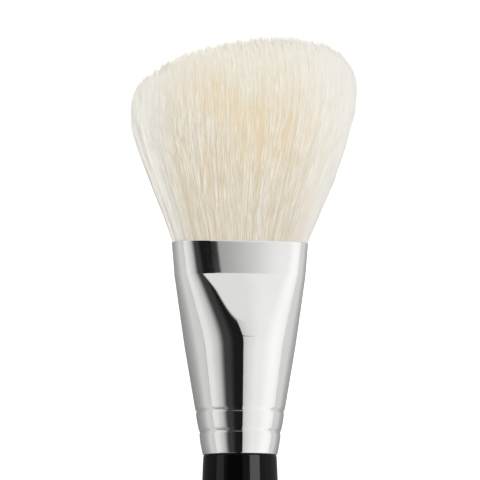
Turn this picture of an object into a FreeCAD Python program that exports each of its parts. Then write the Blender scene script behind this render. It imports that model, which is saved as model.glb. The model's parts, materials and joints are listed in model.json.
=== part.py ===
import FreeCAD, Part
import math
import os
import re
import Sketcher

# Shading brush: a turned wooden handle, a drawn metal ferrule that is round at its foot and
# pressed to a flat oval at its mouth, and a flared tuft of goat hair with a slanted dome.
# Every piece is drawn standing up, with the brush's axis on Z, the ferrule's foot at height 0
# and the wide faces towards -Y and +Y. The placements then lay the brush down on its belly.

V = FreeCAD.Vector

SIZES = [
    ("foot_radius", 6.9, "ferrule: outer radius at its foot"),
    ("cone_length", 20.0, "ferrule: height of the round cone below the pressed part"),
    ("cone_radius", 10.3, "ferrule: outer radius at the top of the round cone"),
    ("ferrule_length", 39.6, "ferrule: height from foot to mouth"),
    ("band_length", 6.3, "ferrule: height of the flat band between crease and mouth"),
    ("crease_half_width", 12.3, "ferrule: half width at the crease"),
    ("crease_half_depth", 6.85, "ferrule: half depth at the crease"),
    ("mouth_half_width", 12.85, "ferrule: half width at the mouth"),
    ("mouth_half_depth", 6.25, "ferrule: half depth at the mouth"),
    ("face_angle", 8.3, "ferrule: degrees that half of a pressed face turns through"),
    ("press_fade_ratio", 0.2, "ferrule: share of the pressed height in which the facet fades in"),
    ("blend_length", 3.0, "ferrule: height below the cone's top where the pressed shape starts"),
    ("wall", 0.4, "ferrule: thickness of the sheet"),
    ("low_crimp", 4.2, "ferrule: height of the lower crimp"),
    ("high_crimp", 8.0, "ferrule: height of the upper crimp"),
    ("crimp_depth", 0.25, "ferrule: depth that the crimps are rolled in"),
    ("crimp_drop", 0.3, "ferrule: height of a crimp's short lower flank"),
    ("crimp_rise", 0.6, "ferrule: height of a crimp's long upper flank"),
    ("barrel_radius", 24.0, "ferrule: bow of the two bands below the crimps"),
    ("tenon_length", 12.0, "handle: height of the tenon inside the ferrule"),
    ("tenon_gap", 0.1, "handle: gap round the tenon at the ferrule's foot, filled with glue"),
    ("tenon_chamfer", 0.8, "handle: chamfer at the tenon's end"),
    ("seat_width", 0.2, "handle: width of the flat ledge that the ferrule's foot meets"),
    ("neck_radius", 6.85, "handle: radius where the end's rounding starts"),
    ("neck_drop", 0.6, "handle: height of the end's rounding"),
    ("shoulder_radius", 1.2, "handle: bow of the end's rounding"),
    ("belly_radius", 7.15, "handle: largest radius"),
    ("belly_drop", 12.0, "handle: depth of the largest radius below the ferrule"),
    ("swell_radius", 217.0, "handle: bow between the neck and the belly"),
    ("taper_radius", 6.4, "handle: radius where the long taper starts"),
    ("taper_drop", 42.0, "handle: depth where the long taper starts"),
    ("flow_radius", 600.0, "handle: bow between the belly and the taper"),
    ("tail_radius", 3.5, "handle: radius of the rounded tail"),
    ("handle_length", 105.0, "handle: length outside the ferrule"),
    ("thread_diameter", 0.5, "thread: diameter"),
    ("thread_gap", 0.1, "thread: gap to the ferrule's wall"),
    ("thread_height", 0.8, "thread: height above the foot of the hair"),
    ("hair_length", 38.8, "tuft: height from the mouth to the highest tip"),
    ("peak_shift", 9.0, "tuft: sideways shift of the highest tip"),
    ("left_flare_angle", 23.3, "tuft: degrees that the left flank leans out at the mouth"),
    ("left_flank", 338.0, "tuft: bow of the left flank"),
    ("left_shoulder", 11.8, "tuft: rounding of the left shoulder"),
    ("left_crown", 57.0, "tuft: bow of the crown left of its peak"),
    ("right_flare_angle", 29.0, "tuft: degrees that the right flank leans out at the mouth"),
    ("right_flank", 93.0, "tuft: bow of the right flank"),
    ("right_shoulder", 10.0, "tuft: rounding of the right shoulder"),
    ("right_crown", 18.2, "tuft: bow of the crown right of its peak"),
    ("belly_share", 0.62, "tuft: depth of the belly as a share of its width"),
]
THREAD_TURNS = 3
PRESS_STEPS = (0.0, 0.25, 0.5, 0.75, 1.0)
SWELL_FADE = 0.15
TUFT_STEPS = (0.0, 0.05, 0.15, 0.3, 0.45, 0.58, 0.7, 0.8, 0.88, 0.94, 0.98)
ARC_ENDS = (0.45, 0.7, 1.0)
LOFT_DEGREE = 3


def make_sheet(doc):
    """Writes each size, with its alias and what it means, on a row of the sheet."""
    sheet = doc.addObject("Spreadsheet::Sheet", "Sizes")
    for row, (name, value, meaning) in enumerate(SIZES, start=1):
        sheet.set(f"A{row}", meaning)
        sheet.set(f"B{row}", str(value))
        sheet.setAlias(f"B{row}", name)
    doc.recompute()
    return sheet


doc = FreeCAD.newDocument("shading_brush")
sheet = make_sheet(doc)


def size(expression):
    """The value that an expression on the sheet's aliases has now."""
    return float(sheet.evalExpression(expression))


def on_sheet(expression):
    """The same expression with each alias named the way another object has to name it."""
    names = {name for name, _, _ in SIZES}
    return re.sub(r"[a-z_]+", lambda word: f"Sizes.{word[0]}" if word[0] in names else word[0], expression)


def add_sketch(body, name, role, height=None):
    """A sketch on one of the body's own origin planes, raised to a height if one is given."""
    sketch = body.newObject("Sketcher::SketchObject", name)
    plane = next(item for item in body.Origin.OriginFeatures if item.Role == role)
    sketch.AttachmentSupport = [(plane, "")]
    sketch.MapMode = "FlatFace"
    if height is not None:
        sketch.AttachmentOffset = FreeCAD.Placement(V(0, 0, size(height)), FreeCAD.Rotation())
        sketch.setExpression("AttachmentOffset.Base.z", on_sheet(height))
    return sketch


def arc_between(start, end, radius):
    """The arc under half a turn from start to end that bows to the right of the way."""
    chord = end - start
    right = V(chord.y, -chord.x, 0).normalize()
    sagitta = radius - math.sqrt(radius ** 2 - (chord.Length / 2) ** 2)
    return Part.Arc(start, (start + end) * 0.5 + right * sagitta, end)


def hold(sketch, side, end, direction, expression):
    """Holds one end of a side at a distance from the sketch's origin along one direction."""
    value = size(expression)
    if abs(value) < 1e-9:
        axis = -2 if direction == "DistanceX" else -1
        sketch.addConstraint(Sketcher.Constraint("PointOnObject", side, end, axis))
        return
    index = sketch.addConstraint(Sketcher.Constraint(direction, -1, 1, side, end, value))
    sketch.setExpression(f"Constraints[{index}]", on_sheet(expression))


def outline(sketch, corners, bows=None, hollows=None):
    """A closed outline, drawn anticlockwise. Each corner is bound to its two expressions. The
    side that leaves corner number n is an arc of radius bows[n] that bulges out, or of radius
    hollows[n] that curves in, and else a line."""
    bows, hollows = bows or {}, hollows or {}
    points = [V(size(across), size(along), 0) for across, along in corners]
    count = len(points)
    for number, start in enumerate(points):
        end = points[(number + 1) % count]
        if number in bows:
            sketch.addGeometry(arc_between(start, end, size(bows[number])), False)
        elif number in hollows:
            sketch.addGeometry(arc_between(end, start, size(hollows[number])), False)
        else:
            sketch.addGeometry(Part.LineSegment(start, end), False)
    first = [2 if number in hollows else 1 for number in range(count)]
    for number in range(count):
        following = (number + 1) % count
        ends = (number, 3 - first[number], following, first[following])
        sketch.addConstraint(Sketcher.Constraint("Coincident", *ends))
    for number, (across, along) in enumerate(corners):
        hold(sketch, number, first[number], "DistanceX", across)
        hold(sketch, number, first[number], "DistanceY", along)
    for number, radius in {**bows, **hollows}.items():
        index = sketch.addConstraint(Sketcher.Constraint("Radius", number, size(radius)))
        sketch.setExpression(f"Constraints[{index}]", on_sheet(radius))
    return sketch


def oval(half_width, half_depth):
    """Corners and bows of an oval of four arcs that run into each other without a corner. Half
    of each wide face turns through face_angle, and with equal halves the oval is a circle."""
    pinch = f"((({half_width}) - ({half_depth})) / (1 - tan(face_angle / 2)))"
    side = f"(({half_width}) - {pinch})"
    face = f"({side} + {pinch} / sin(face_angle))"
    across = f"({pinch} + {side} * sin(face_angle))"
    along = f"({side} * cos(face_angle))"
    corners = [(across, f"-1 * {along}"), (across, along)]
    corners += [(f"-1 * {across}", along), (f"-1 * {across}", f"-1 * {along}")]
    return corners, {0: side, 1: face, 2: side, 3: face}


def cone_at(height):
    """Outer radius of the ferrule's round cone at a height."""
    return f"(foot_radius + (cone_radius - foot_radius) * ({height}) / cone_length)"


def pressed_sections():
    """Height, half width and half depth of the pressed part's ovals, from the round cone to the
    crease. The sides run straight, and the faces sink along a hyperbola: slowly at first, then
    at an even slope."""
    start = "(cone_length - blend_length)"
    sections = [(start, cone_at(start), cone_at(start))]
    for step in PRESS_STEPS:
        height = f"(cone_length + {step} * (ferrule_length - band_length - cone_length))"
        width = f"(cone_radius + {step} * (crease_half_width - cone_radius))"
        ramp = f"((sqrt({step} ^ 2 + press_fade_ratio ^ 2) - press_fade_ratio)"
        ramp += " / (sqrt(1 + press_fade_ratio ^ 2) - press_fade_ratio))"
        sections.append((height, width, f"({width} - {ramp} * (crease_half_width - crease_half_depth))"))
    return sections


def oval_sketches(body, name, sections, inset):
    """One sketch for each section, with its oval drawn a little inside by inset."""
    sketches = []
    for number, (height, half_width, half_depth) in enumerate(sections):
        sketch = add_sketch(body, f"{name}_{number}", "XY_Plane", height)
        outline(sketch, *oval(f"{half_width} - {inset}", f"{half_depth} - {inset}"))
        sketches.append(sketch)
    return sketches


def loft(body, name, kind, sketches, ruled):
    """A loft through the sketches, added to the body or cut from it."""
    feature = body.newObject(f"PartDesign::{kind}", name)
    feature.Profile = sketches[0]
    feature.Sections = sketches[1:]
    feature.Ruled = ruled
    feature.Refine = False
    return feature


def turn(body, name, kind, sketch):
    """A full turn of an upright profile about the body's Z axis."""
    feature = body.newObject(f"PartDesign::{kind}", name)
    feature.Profile = sketch
    feature.ReferenceAxis = (sketch, ["V_Axis"])
    feature.Angle = 360
    feature.Refine = False
    return feature


def crimped_side(top, inset):
    """The ferrule's lower side from its foot up to a height below its cone's top: two bands that
    bow out a little, two rolled crimps and the plain cone, all moved in by inset."""
    corners = [(f"{cone_at('0')} - {inset}", "0")]
    bands = []
    for crimp in ("low_crimp", "high_crimp"):
        below, above = f"({crimp} - crimp_drop)", f"({crimp} + crimp_rise)"
        bands.append(len(corners) - 1)
        corners.append((f"{cone_at(below)} - {inset}", below))
        corners.append((f"{cone_at(crimp)} - crimp_depth - {inset}", crimp))
        corners.append((f"{cone_at(above)} - {inset}", above))
    corners.append((f"{cone_at(top)} - {inset}", top))
    return corners, bands


def make_ferrule(doc):
    """A drawn tube: its outer form first, then its bore, one wall inside the outer form."""
    body = doc.addObject("PartDesign::Body", "ferrule")
    start = "(cone_length - blend_length)"
    mouth = ("ferrule_length", "mouth_half_width", "mouth_half_depth")
    pressed = pressed_sections()
    for name, inset, turned, lofted in (("outside", "0", "Revolution", "AdditiveLoft"),
                                        ("bore", "wall", "Groove", "SubtractiveLoft")):
        side, bands = crimped_side(start, inset)
        profile = add_sketch(body, f"{name}_profile", "XZ_Plane")
        bows = {band + 1: "barrel_radius" for band in bands}
        outline(profile, [("0", "0")] + side + [("0", start)], bows)
        turn(body, f"{name}_cone", turned, profile)
        loft(body, f"{name}_press", lofted, oval_sketches(body, f"{name}_press", pressed, inset), False)
        band = oval_sketches(body, f"{name}_band", [pressed[-1], mouth], inset)
        loft(body, f"{name}_band", lofted, band, True)
    return body


TENON_RADIUS = "(foot_radius - wall - tenon_gap)"


def make_handle(doc):
    """A turned handle: tail, long taper, belly, rounded shoulder, ledge and straight tenon."""
    body = doc.addObject("PartDesign::Body", "handle")
    corners = [
        ("0", "-1 * handle_length"),
        ("tail_radius", "tail_radius - handle_length"),
        ("taper_radius", "-1 * taper_drop"),
        ("belly_radius", "-1 * belly_drop"),
        ("neck_radius", "-1 * neck_drop"),
        ("foot_radius - wall + seat_width", "0"),
        (TENON_RADIUS, "0"),
        (TENON_RADIUS, "tenon_length - tenon_chamfer"),
        (f"{TENON_RADIUS} - tenon_chamfer", "tenon_length"),
        ("0", "tenon_length"),
    ]
    bows = {0: "tail_radius", 2: "flow_radius", 3: "swell_radius", 4: "shoulder_radius"}
    profile = outline(add_sketch(body, "handle_profile", "XZ_Plane"), corners, bows)
    turn(body, "handle_turning", "Revolution", profile)
    return body


def make_glue_plug(doc):
    """The cast glue: a thin sleeve round the tenon, which the crimps bite, and a plug between the
    tenon's end and the foot of the hair."""
    body = doc.addObject("PartDesign::Body", "glue_plug")
    top = "(cone_length - blend_length)"
    side, bands = crimped_side(top, "wall")
    corners = side + [
        ("0", top),
        ("0", "tenon_length"),
        (f"{TENON_RADIUS} - tenon_chamfer", "tenon_length"),
        (TENON_RADIUS, "tenon_length - tenon_chamfer"),
        (TENON_RADIUS, "0"),
    ]
    profile = add_sketch(body, "glue_profile", "XZ_Plane")
    outline(profile, corners, {band: "barrel_radius" for band in bands})
    turn(body, "glue_casting", "Revolution", profile)
    return body


THREAD_LOW = "(cone_length - blend_length + thread_height)"
THREAD_RIM = f"({cone_at(THREAD_LOW)} - wall - thread_gap - thread_diameter / 2)"
THREAD_SEAT = f"({THREAD_RIM} - thread_diameter / 2)"
THREAD_BOW = "(0.55 * thread_diameter)"


def make_thread(doc):
    """The binding round the foot of the hair: turns of thread that lie against each other."""
    body = doc.addObject("PartDesign::Body", "binding_thread")
    high = f"({THREAD_LOW} + {THREAD_TURNS} * thread_diameter)"
    corners = [(THREAD_SEAT, THREAD_LOW)]
    corners += [(THREAD_RIM, f"({THREAD_LOW} + {turn_number} * thread_diameter)")
                for turn_number in range(THREAD_TURNS + 1)]
    corners.append((THREAD_SEAT, high))
    bows = {turn_number + 1: THREAD_BOW for turn_number in range(THREAD_TURNS)}
    profile = outline(add_sketch(body, "thread_profile", "XZ_Plane"), corners, bows)
    turn(body, "thread_winding", "Revolution", profile)
    return body


def oval_wire(half_width, half_depth, centre, lean):
    """The same oval as a wire of four arcs, with its middle at centre and its plane leaned about
    the Y axis by lean degrees, so that its right end rises."""
    turned = math.radians(size("face_angle"))
    pinch = (half_width - half_depth) / (1 - math.tan(turned / 2))
    side = half_width - pinch
    face = side + pinch / math.sin(turned)
    rise = face - half_depth
    arcs = []
    for quarter, (middle, radius, half_span) in enumerate((
        (V(pinch, 0, 0), side, math.pi / 2 - turned),
        (V(0, -rise, 0), face, turned),
        (V(-pinch, 0, 0), side, math.pi / 2 - turned),
        (V(0, rise, 0), face, turned),
    )):
        points = [middle + V(math.cos(angle), math.sin(angle), 0) * radius
                  for angle in (quarter * math.pi / 2 + half_span * turn for turn in (-1, 0, 1))]
        arcs.append(Part.Arc(*points).toShape())
    wire = Part.Wire(arcs)
    wire.Placement = FreeCAD.Placement(centre, FreeCAD.Rotation(V(0, 1, 0), -lean))
    return wire


def swell(step):
    """How much of the way to the belly's depth the tuft has opened at a share of its height. It
    starts gently at the mouth, opens evenly above it and is full at half the height."""
    opened = min(1.0, step / 0.5)
    bend = (math.hypot(opened, SWELL_FADE) - SWELL_FADE) / (math.hypot(1, SWELL_FADE) - SWELL_FADE)
    return math.sin(bend * math.pi / 2)


class Flank:
    """One side of the tuft's outline, seen from the front, as three arcs that run into each
    other: a long flank from the mouth, a shoulder, and a crown that ends level at the peak."""

    def __init__(self, name, toward):
        """Finds the shoulder's centre, which lies one radius less one shoulder from the
        centres of both other arcs."""
        self.toward = toward
        flare = math.radians(size(f"{name}_flare_angle"))
        self.flank, self.shoulder, self.crown = (size(f"{name}_{arc}") for arc in ("flank", "shoulder", "crown"))
        start = V(size("mouth_half_width - wall"), size("ferrule_length"), 0)
        peak = V(toward * size("peak_shift"), size("ferrule_length + hair_length"), 0)
        self.low = start + V(-math.cos(flare), math.sin(flare), 0) * self.flank
        self.high = peak - V(0, self.crown, 0)
        reach, height = self.flank - self.shoulder, self.crown - self.shoulder
        apart = self.high - self.low
        along = (reach ** 2 - height ** 2 + apart.Length ** 2) / (2 * apart.Length)
        across = math.sqrt(reach ** 2 - along ** 2)
        way = apart / apart.Length
        self.mid = self.low + way * along + V(-way.y, way.x, 0) * across
        leave = self.mid - self.low
        arrive = self.mid - self.high
        self.turns = [-flare, math.atan2(leave.y, leave.x), math.atan2(arrive.y, arrive.x), math.pi / 2]

    def at(self, share):
        """The point at a share of the way from the mouth to the peak. Each arc takes up the
        stretch of shares that ARC_ENDS gives it, so both sides round their shoulders together."""
        number = next(index for index, end in enumerate(ARC_ENDS) if share <= end)
        begin = ARC_ENDS[number - 1] if number else 0.0
        part = (share - begin) / (ARC_ENDS[number] - begin)
        angle = self.turns[number] + part * (self.turns[number + 1] - self.turns[number])
        centre = (self.low, self.mid, self.high)[number]
        radius = (self.flank, self.shoulder, self.crown)[number]
        return V(self.toward * (centre.x + radius * math.cos(angle)), 0, centre.y + radius * math.sin(angle))


def tuft_head():
    """The free hair: ovals from the rim to the peak, each spanning from the left side of the
    outline to the right side at the same share of its length, so they lean more and more
    towards the crown's slant."""
    left, right = Flank("left", -1), Flank("right", 1)
    mouth_depth, belly_share = size("mouth_half_depth - wall"), size("belly_share")
    wires = []
    for step in TUFT_STEPS:
        low, high = left.at(step), right.at(step)
        span = high - low
        half_width = span.Length / 2
        half_depth = mouth_depth + (half_width * belly_share - mouth_depth) * swell(step)
        lean = math.degrees(math.atan2(span.z, span.x))
        wires.append(oval_wire(half_width, half_depth, (low + high) * 0.5, lean))
    return Part.makeLoft(wires, True, False, False, LOFT_DEGREE)


def tuft_root():
    """The hair inside the ferrule, which fills the bore, with a seat for the binding thread."""
    inset = size("wall")
    wires = [oval_wire(size(half_width) - inset, size(half_depth) - inset, V(0, 0, size(height)), 0)
             for height, half_width, half_depth in pressed_sections()]
    mouth = oval_wire(size("mouth_half_width") - inset, size("mouth_half_depth") - inset,
                      V(0, 0, size("ferrule_length")), 0)
    pressed = Part.makeLoft(wires, True, False)
    band = Part.makeLoft([wires[-1], mouth], True, True)
    low, seat = size(THREAD_LOW), size(THREAD_SEAT)
    high = low + THREAD_TURNS * size("thread_diameter")
    bore = size("cone_radius")
    groove = Part.makeCylinder(bore, high - low, V(0, 0, low)).cut(Part.makeCylinder(seat, high - low, V(0, 0, low)))
    return pressed.cut(groove).fuse(band)


def make_tuft(doc):
    """The hair as one closed solid, from its foot in the ferrule to the tips."""
    tuft = doc.addObject("Part::Feature", "hair_tuft")
    tuft.Shape = tuft_root().fuse(tuft_head()).Solids[0]
    return tuft


def lowest(solids, lean):
    """The lowest height of each solid once it lies down with its head raised by lean degrees."""
    laid = FreeCAD.Placement(V(0, 0, 0), FreeCAD.Rotation(V(1, 0, 0), lean - 90))
    return [solid.transformed(laid.toMatrix(), True).optimalBoundingBox(False, False).ZMin for solid in solids]


def resting_lean(belly, tail):
    """The lean at which the tuft's belly and the handle's tail touch the floor together."""
    lean = 0.0
    apart = size("handle_length + ferrule_length")
    for _ in range(6):
        belly_low, tail_low = lowest((belly, tail), lean)
        lean += math.degrees(math.atan2(tail_low - belly_low, apart))
    return lean


def lay_down(pieces):
    """Gives each piece the placement that lays the brush on the floor, head towards +Y and with
    the middle of its base box at the origin."""
    lean = resting_lean(pieces["hair_tuft"].Shape, pieces["handle"].Shape)
    rotation = FreeCAD.Rotation(V(1, 0, 0), lean - 90)
    laid = FreeCAD.Placement(V(0, 0, 0), rotation).toMatrix()
    whole = Part.makeCompound([piece.Shape.transformed(laid, True) for piece in pieces.values()])
    box = whole.optimalBoundingBox(False, False)
    for piece in pieces.values():
        piece.Placement = FreeCAD.Placement(V(-box.Center.x, -box.Center.y, -box.ZMin), rotation)


def check(doc, pieces):
    """Stops with a plain message if a feature failed or a piece isn't one valid solid."""
    for item in doc.Objects:
        if "Invalid" in item.State or "Error" in item.State:
            raise SystemExit(f"{item.Name} failed: {item.State}")
    for name, piece in pieces.items():
        shape = piece.Shape
        if shape.isNull() or not shape.isValid() or len(shape.Solids) != 1:
            raise SystemExit(f"{name} is not one valid solid")
        print(f"{name}: {shape.Volume:.1f} cubic mm")


makers = (make_handle, make_ferrule, make_glue_plug, make_thread, make_tuft)
made = [maker(doc) for maker in makers]
doc.recompute()
pieces = {piece.Label: piece for piece in made}
check(doc, pieces)
lay_down(pieces)
doc.recompute()
check(doc, pieces)
os.makedirs("parts", exist_ok=True)
for name, piece in pieces.items():
    piece.Shape.exportStep(os.path.join("parts", f"{name}.step"))
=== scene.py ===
import json
import math
import bpy
import numpy as np
from mathutils import Matrix, Vector


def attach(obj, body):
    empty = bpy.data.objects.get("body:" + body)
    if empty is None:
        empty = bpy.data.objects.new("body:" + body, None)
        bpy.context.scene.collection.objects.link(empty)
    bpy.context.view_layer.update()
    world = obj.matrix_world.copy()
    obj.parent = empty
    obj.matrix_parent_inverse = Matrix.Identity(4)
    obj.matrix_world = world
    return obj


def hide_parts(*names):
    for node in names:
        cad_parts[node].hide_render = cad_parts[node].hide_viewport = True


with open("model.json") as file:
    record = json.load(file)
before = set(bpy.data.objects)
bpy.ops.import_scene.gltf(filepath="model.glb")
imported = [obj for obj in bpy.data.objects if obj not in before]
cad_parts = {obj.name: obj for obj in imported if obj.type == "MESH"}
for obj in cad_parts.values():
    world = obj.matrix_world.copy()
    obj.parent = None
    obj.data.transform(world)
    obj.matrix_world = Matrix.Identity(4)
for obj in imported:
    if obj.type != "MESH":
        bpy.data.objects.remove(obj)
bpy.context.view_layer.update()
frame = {"nodes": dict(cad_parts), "record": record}

# Shading brush: polished ferrule, black lacquered handle and a tuft of goat hair.
# Brush points are (x, y, z): x across, y away from the front, and z the height along the axis
# from the ferrule's foot, positive towards the hair. All lengths are in metres.

MM = 0.001

# Ferrule
FOOT_RADIUS = 6.9 * MM
FOOT_EDGE = 0.08 * MM
CONE_LENGTH = 20.0 * MM
CONE_RADIUS = 10.3 * MM
FERRULE_LENGTH = 39.6 * MM
BAND_LENGTH = 6.3 * MM
CREASE_HEIGHT = FERRULE_LENGTH - BAND_LENGTH
CREASE_HALF_WIDTH = 12.3 * MM
CREASE_HALF_DEPTH = 6.85 * MM
CREASE_DIP = 0.12 * MM
CREASE_DIP_LENGTH = 3.4 * MM
CREASE_DIP_CURVE = 2.5
MOUTH_HALF_WIDTH = 12.85 * MM
MOUTH_HALF_DEPTH = 6.25 * MM
FACE_ANGLE = math.radians(8.3)
PRESS_FADE_RATIO = 0.2
WALL = 0.4 * MM
BORE_HALF_WIDTH = MOUTH_HALF_WIDTH - WALL
BORE_HALF_DEPTH = MOUTH_HALF_DEPTH - WALL
RIM_ROLL = 0.05 * MM
RIM_ROLL_LENGTH = 0.3 * MM
CRIMPS = (4.2 * MM, 8.0 * MM)
CRIMPS_END = 10.0 * MM
CRIMP_DEPTH = 0.17 * MM
CRIMP_DROP = 0.40 * MM
CRIMP_RISE = 0.8 * MM
BARREL_RADIUS = 20.0 * MM

# Rows and steps of the ferrule's mesh
CREASE_ZONE = 0.3 * MM
OUTER_ROWS = (150, 14, 56, 9, 12)
ROLL_ROWS = 8
RIM_ROWS = 8
INNER_START = 1.0 * MM
INNER_HEIGHTS = (30.0 * MM, 26.0 * MM, 22.0 * MM)
FERRULE_STEPS = (80, 36)

# Handle
TENON_LENGTH = 12.0 * MM
TENON_RADIUS = 6.4 * MM
TENON_CHAMFER = 0.8 * MM
LEDGE_RADIUS = 6.7 * MM
NECK_RADIUS = 6.85 * MM
NECK_DROP = 0.6 * MM
SHOULDER_BOW = 1.2 * MM
BELLY_RADIUS = 7.15 * MM
BELLY_DROP = 12.0 * MM
SWELL_BOW = 217.0 * MM
TAPER_RADIUS = 6.4 * MM
TAPER_DROP = 42.0 * MM
FLOW_BOW = 600.0 * MM
TAIL_RADIUS = 3.5 * MM
HANDLE_LENGTH = 105.0 * MM
HANDLE_COLUMNS = 160

# Tuft
HAIR_FOOT = 17.0 * MM
HAIR_LENGTH = 38.8 * MM
PEAK_HEIGHT = FERRULE_LENGTH + HAIR_LENGTH
PEAK_SHIFT = 9.0 * MM
LEFT_ARCS = (math.radians(23.3), 338.0 * MM, 11.8 * MM, 57.0 * MM)
RIGHT_ARCS = (math.radians(29.0), 93.0 * MM, 10.0 * MM, 18.2 * MM)
ARC_ENDS = (0.45, 0.7, 1.0)
OUTLINE_SAMPLES = 400
RIM_STEPS = (200, 60)
TOP_SHARE = 0.999
HALVINGS = 16
SWELL_FADE = 0.15
SWELL_END = 0.5
BELLY_SHARE = 0.62
BELLY_HALF_WIDTH = 21.2 * MM
THREAD_BAND = (17.8 * MM, 19.3 * MM)
THREAD_SEAT = 8.926 * MM

# Core of the tuft
CORE_HEIGHTS = (24.0 * MM, 28.0 * MM, 31.0 * MM)
CORE_REACHES = (0.89, 0.86)
CORE_REACH_SHARES = (0.35, 0.75)
CORE_SINK = 2.1 * MM
CORE_END = 0.97
CORE_TOP_DROP = 2.8 * MM
CORE_ROWS = 60
CORE_STEPS = (50, 20)

# Make of a strand
STRAND_FOOT = FERRULE_LENGTH - 0.8 * MM
STRAND_PLACES = np.array([0.0, 0.2, 0.4, 0.6, 0.8, 0.93, 1.0])
STRAND_RINGS = len(STRAND_PLACES) - 1
STRAND_POINTS = 3 * STRAND_RINGS + 1
STRAND_THICKNESS = 0.15 * MM
ROOT_THICKNESS_RATIO = 0.7
THICKNESS_GROWTH = 0.5
TIP_TAPER = 0.8
CELL_MARGIN = 0.13
CELL_FILL = 0.8
ROOT_CELL = ((0.6, -0.02), (0.3, -0.1), (0.0, -0.02))
STRANDS_PER_LOCK = 8
LOCKS_PER_QUARTER = 686
SEED = 11

# A share of the locks stands near the rim. Spreads are those of a lock's strands round its
# middle, and the limits are shares of the tuft's half width and half depth.
RIM_LOCKS = 0.6
RIM_REACH = (0.84, 0.985)
FAN_SPREAD = 0.010
LAYER_SPREAD = 0.03
LOCK_CLOSING = 0.4
FAN_LIMIT = 0.99
FAN_LIMIT_SPREAD = 0.05
LAYER_LIMIT = 0.98
DEPTH_LIMIT = 0.93
DEPTH_LIMIT_SPREAD = 0.06

# The left shoulder is lowered between two shares of the half width.
SHOULDER_SHARES = (0.6, 0.99)
SHOULDER_DROP = 0.9 * MM
FACE_SHORTENING = 0.5

# Waves as the swing at the tip and the turn from foot to tip in radians.
LOCK_WAVE = (0.16 * MM, 5.0)
STRAND_WAVE = (0.08 * MM, 11.0)
DEPTH_WAVE = (0.08 * MM, 6.0)

# Uneven lengths and tones
LOCK_LENGTH_SPREAD = 0.1 * MM
STRAND_LENGTH_SPREAD = 0.5 * MM
LONG_STRANDS = 0.12
LONG_EXTRA = 1.2 * MM
MIDDLE_TONE = 0.5
LOCK_TONE_SPREAD = 0.12
STRAND_TONE_SPREAD = 0.34
# Painted shade: strands of locks nearer the middle lose tone and turn darker and warmer, as if in shade
# deep in the tuft.
INNER_PAINTED_SHADE = 0.4

# Softened normals: how far they turn to the side over the whole tuft, more at its sides and more
# at its tips, and their lean in degrees at the mouth and at the tips.
SOFTNESS = 0.88
WHOLE_TURN = 0.35
SIDE_TURN = 0.3
TIP_TURN = 0.65
MOUTH_LEAN = -10
TIP_LEAN = 28
LEAN_CURVE = 1.6

# Hair colours as screen values, and how many dashes lie across the tones and along a strand.
STRAND_COLOURS = ((0.0, (237, 217, 180)), (0.5, (247, 242, 229)), (1.0, (253, 254, 253)))
# Painted light: strands turn paler towards this colour at their tips, standing in for the stronger light
# on the top of the tuft.
TIP_LIGHT_COLOUR = (254, 252, 244)
DASH_COLOUR = (227, 216, 192)
CLOUD_COLOUR = (247, 227, 190)
# Painted light at both sides of the tuft, standing in for light wrapping round its edges.
SIDE_LIGHT_COLOUR = (254, 252, 245)
# Painted light on the right half of the tuft, where the stronger light falls.
RIGHT_LIGHT_COLOUR = (254, 252, 247)
DASH_LANES = 400.0
DASHES_ALONG = 9.0

# The grip mount lies on the handle's axis, GRIP_DROP below the ferrule's foot.
GRIP_DROP = 50.0 * MM
grip = next(mount for mount in frame["record"]["mounts"] if mount["name"] == "handle_grip")
UP = -np.array(grip["axis"], dtype=float)
FOOT = np.array(grip["pos_m"], dtype=float) + UP * GRIP_DROP
ACROSS = np.array([1.0, 0.0, 0.0])
BACK = np.cross(UP, ACROSS)
FRONT = -BACK

# No strand runs along this direction, so crossing it with a strand's way gives a side.
ASLANT = BACK + 0.3 * ACROSS

# The photograph looks at the brush from FACE_TURN to one side of its face and from CAMERA_DIP
# below square on to its axis, so that the ferrule's edges arch up a little.
FACE_TURN = math.radians(11)
CAMERA_DIP = math.radians(5.2)
EYE_LEVEL = math.cos(FACE_TURN) * FRONT - math.sin(FACE_TURN) * ACROSS
EYE_RIGHT = math.cos(FACE_TURN) * ACROSS + math.sin(FACE_TURN) * FRONT
TO_CAMERA = math.cos(CAMERA_DIP) * EYE_LEVEL - math.sin(CAMERA_DIP) * UP
PICTURE_WIDTH = 89.5 * MM
CAMERA_DISTANCE = 1.2
SENSOR = 36.0
AIM_HEIGHT = 40.15 * MM

# Table and lamps
TABLE_HALF = 6.0
TABLE_GLOW = 0.35
CAMERA_LIFT = 0.6
# Painted shade for mirrors: the table is darkest for them within the first distance of the brush's axis,
# and plain grey past the second.
MIRRORED_SHADE_FADE = (10 * MM, 50 * MM)
MATT_LIGHT = 0.56
LAMP_DISTANCE = 1.3

# Lamps: degrees round to the right of the camera and above its level, width, height and watts.
LEFT_SOFTBOX = (-76, 22, 1.2, 1.2, 7.2)
RIGHT_SOFTBOX = (45, 20, 1.2, 1.2, 11.3)
LEFT_STRIP = (-64, 8, 0.6, 0.8, 2.6)
RIGHT_STRIP = (47, 8, 0.75, 0.8, 17.0)

# The studio that polished surfaces see: its light far to the left, and the soft steps by which it
# changes on the way round to the right, as start and end in degrees from the camera, and change.
STUDIO_LIGHT = 0.41
LEFT_DIFFUSER = (-118, -82, 0.42)
LEFT_FADE = (-70, -44, -0.28)
STAND_LEFT = (-50, -32, -0.505)
STAND_FADE = (-25, -10, -0.035)
STAND_RIGHT = (7.2, 8.2, 0.585)
RIGHT_GROWTH = (6, 22, 0.15)
RIGHT_DIFFUSER = (16, 40, 0.14)
RIGHT_CORE = (44, 78, 0.145)
RIGHT_FADE = (78, 150, -0.53)
STUDIO_STEPS = (LEFT_DIFFUSER, LEFT_FADE, STAND_LEFT, STAND_FADE, STAND_RIGHT, RIGHT_GROWTH,
                RIGHT_DIFFUSER, RIGHT_CORE, RIGHT_FADE)

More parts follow.
